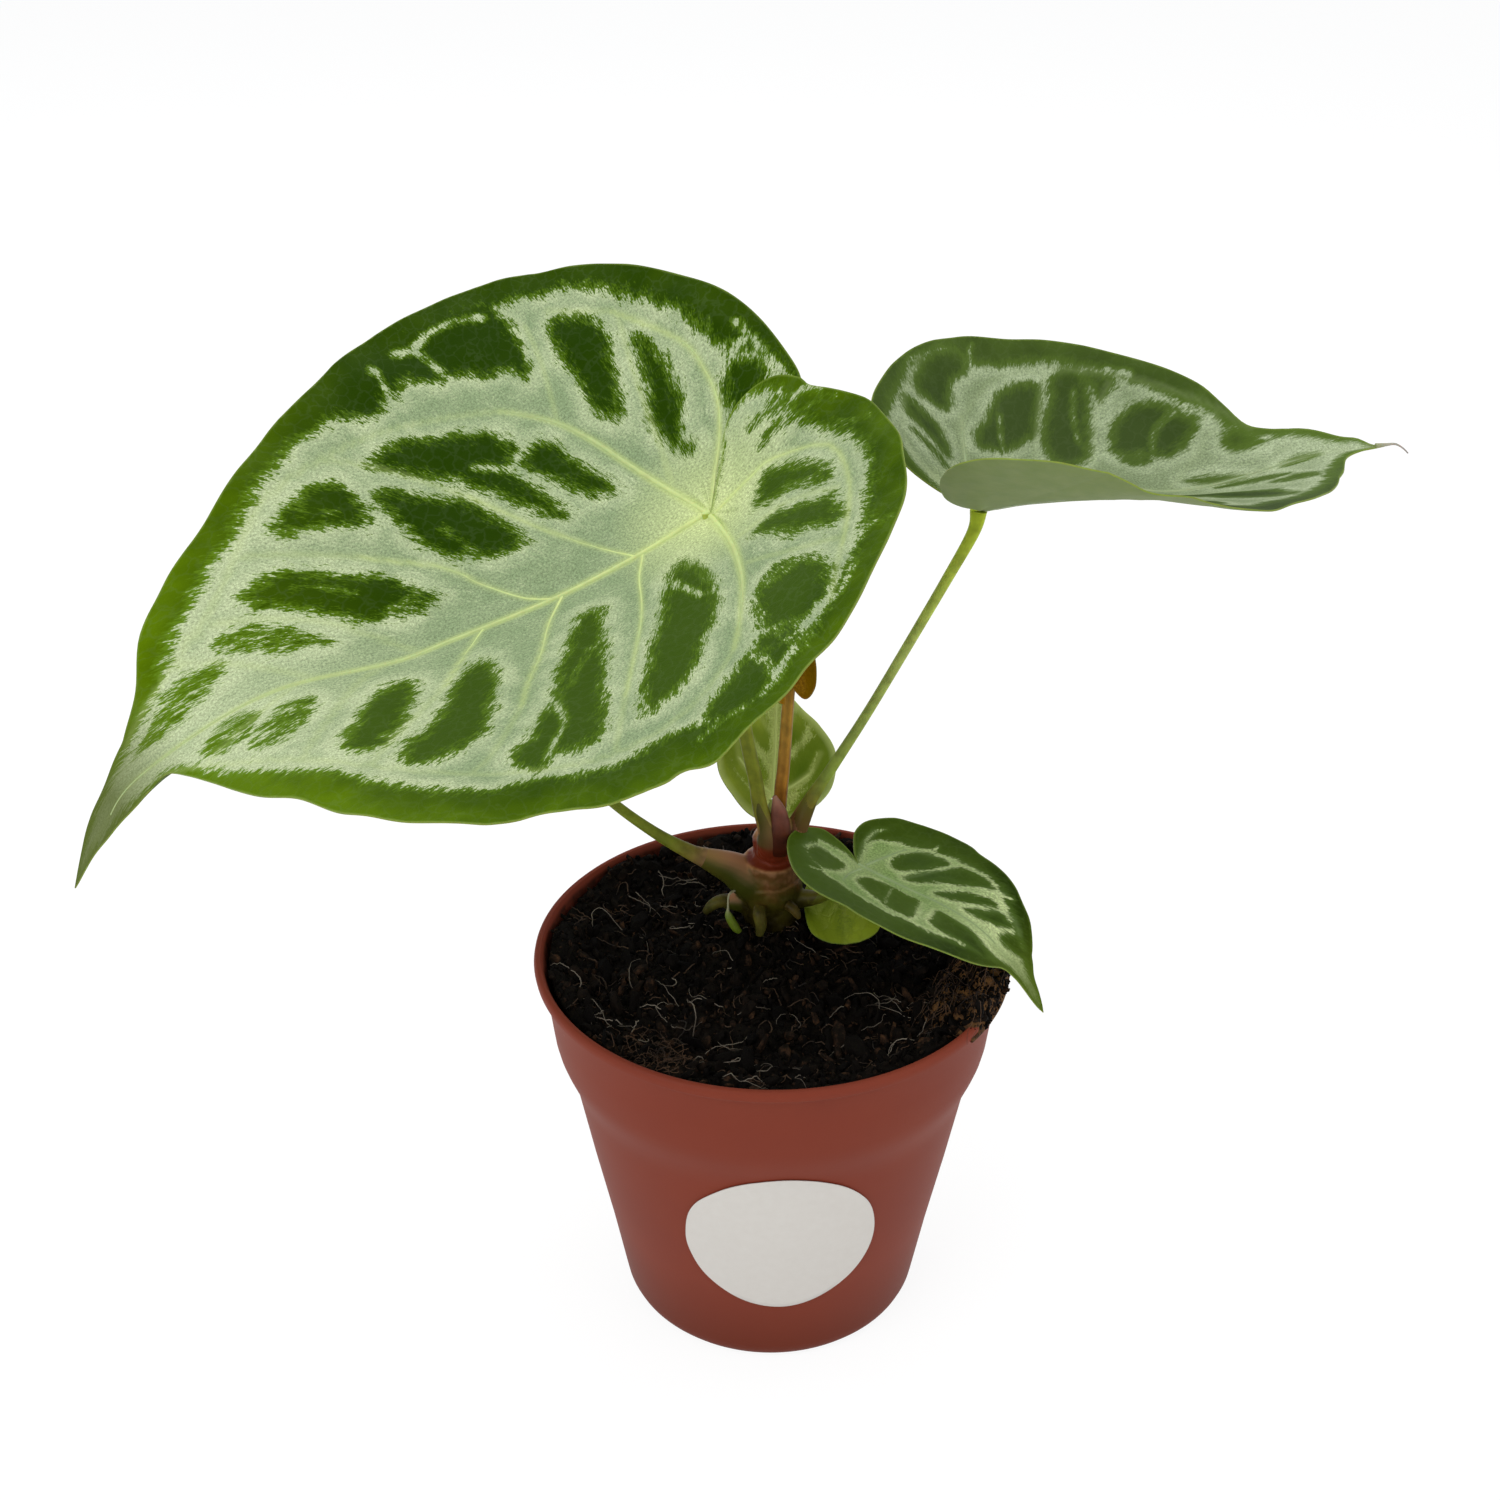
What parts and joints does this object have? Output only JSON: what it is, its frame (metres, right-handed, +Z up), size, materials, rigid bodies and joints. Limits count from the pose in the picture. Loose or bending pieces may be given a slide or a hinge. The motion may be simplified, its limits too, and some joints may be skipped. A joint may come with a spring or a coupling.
{
  "type": "potted anthurium",
  "caption": "Young heart-leaved anthurium with silver-veined leaves on thin stalks, rooted in peat in a small tapered nursery pot with a blank sticker.",
  "frame": {"origin": "centre of the pot's flat underside, on the pot's axis", "axes": "+Z up along the pot's axis, -Y towards the side with the sticker, +X to the right seen from that side"},
  "size_m": [0.1548, 0.0888, 0.129],
  "materials": {
    "pot_plastic": "matte",
    "label_paper": "satin",
    "soil_peat": "matte",
    "crown_bark": "matte",
    "leaf_dark": "satin",
    "leaf_young": "satin",
    "leaf_bronze": "satin",
    "stalk_green": "satin",
    "stalk_red": "satin",
    "root_skin": "matte"
  },
  "bodies": {
    "root": {"blade_back": "leaf_young", "blade_bronze": "leaf_bronze", "blade_large": "leaf_dark", "blade_left": "leaf_dark", "blade_right": "leaf_dark", "blade_round": "leaf_young", "blade_small": "leaf_dark", "crown": "crown_bark", "label": "label_paper", "petiole_back": "stalk_green", "petiole_bronze": "stalk_red", "petiole_large": "stalk_green", "petiole_left": "stalk_green", "petiole_right": "stalk_green", "petiole_round": "stalk_green", "petiole_small": "stalk_green", "pot": "pot_plastic", "root_green_tip": "root_skin", "root_nub_front": "root_skin", "root_nub_left": "root_skin", "root_nub_right": "root_skin", "sheath": "stalk_red", "soil": "soil_peat"}
  },
  "joints": []
}
